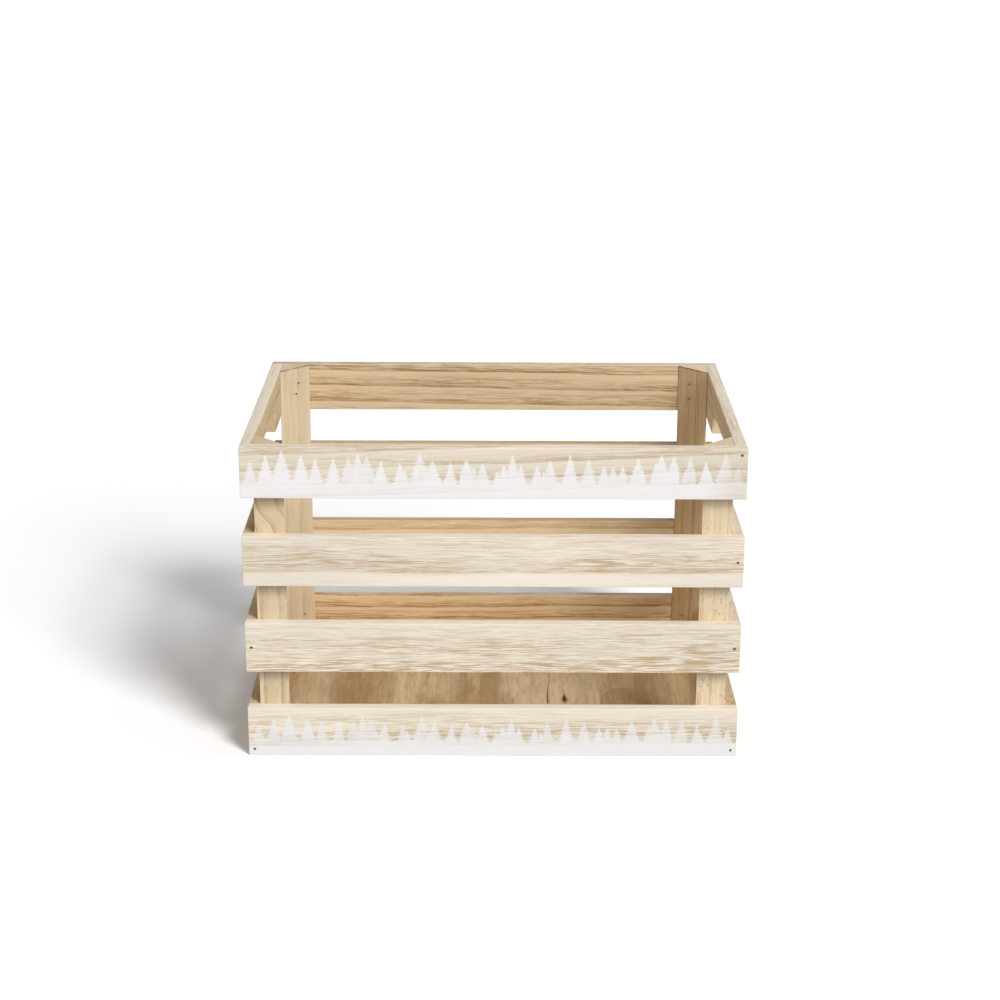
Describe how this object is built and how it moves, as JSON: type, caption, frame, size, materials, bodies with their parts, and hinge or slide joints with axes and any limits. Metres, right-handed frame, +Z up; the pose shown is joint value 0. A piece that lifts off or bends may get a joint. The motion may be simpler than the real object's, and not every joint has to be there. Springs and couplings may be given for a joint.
{
  "type": "kindling box",
  "caption": "Open slatted wooden crate with triangular corner posts, a floor panel and a hand hold in each end, for keeping kindling by a stove.",
  "frame": {"origin": "centre of the footprint, on the ground", "axes": "+Z up, +X along the width to the right as seen from the front, front faces -Y"},
  "size_m": [0.4, 0.27, 0.264],
  "materials": {
    "front_wood": "planed bare pale wood, white treeline painted on the top and bottom slats",
    "wall_wood": "planed bare wood with golden growth lines",
    "post_wood": "planed bare wood, upright grain",
    "floor_wood": "thin bare panel with mottled brown figure",
    "nail_steel": "dull steel"
  },
  "bodies": {
    "root": {"back_slat_1": "wall_wood", "back_slat_2": "wall_wood", "back_slat_3": "wall_wood", "back_slat_4": "wall_wood", "brad_back_left_1": "nail_steel", "brad_back_left_2": "nail_steel", "brad_back_left_3": "nail_steel", "brad_back_left_4": "nail_steel", "brad_back_right_1": "nail_steel", "brad_back_right_2": "nail_steel", "brad_back_right_3": "nail_steel", "brad_back_right_4": "nail_steel", "brad_front_left_1": "nail_steel", "brad_front_left_2": "nail_steel", "brad_front_left_3": "nail_steel", "brad_front_left_4": "nail_steel", "brad_front_right_1": "nail_steel", "brad_front_right_2": "nail_steel", "brad_front_right_3": "nail_steel", "brad_front_right_4": "nail_steel", "floor_nail_back_left": "nail_steel", "floor_nail_back_right": "nail_steel", "floor_nail_front_left": "nail_steel", "floor_nail_front_right": "nail_steel", "floor_panel": "floor_wood", "front_slat_1": "front_wood", "front_slat_2": "front_wood", "front_slat_3": "front_wood", "front_slat_4": "front_wood", "left_slat_1": "wall_wood", "left_slat_2": "wall_wood", "left_slat_3": "wall_wood", "left_slat_4": "wall_wood", "nail_back_left_1": "nail_steel", "nail_back_left_2": "nail_steel", "nail_back_left_3": "nail_steel", "nail_back_left_4": "nail_steel", "nail_back_right_1": "nail_steel", "nail_back_right_2": "nail_steel", "nail_back_right_3": "nail_steel", "nail_back_right_4": "nail_steel", "nail_front_left_1": "nail_steel", "nail_front_left_2": "nail_steel", "nail_front_left_3": "nail_steel", "nail_front_left_4": "nail_steel", "nail_front_right_1": "nail_steel", "nail_front_right_2": "nail_steel", "nail_front_right_3": "nail_steel", "nail_front_right_4": "nail_steel", "post_back_left": "post_wood", "post_back_right": "post_wood", "post_front_left": "post_wood", "post_front_right": "post_wood", "right_slat_1": "wall_wood", "right_slat_2": "wall_wood", "right_slat_3": "wall_wood", "right_slat_4": "wall_wood"}
  },
  "joints": []
}
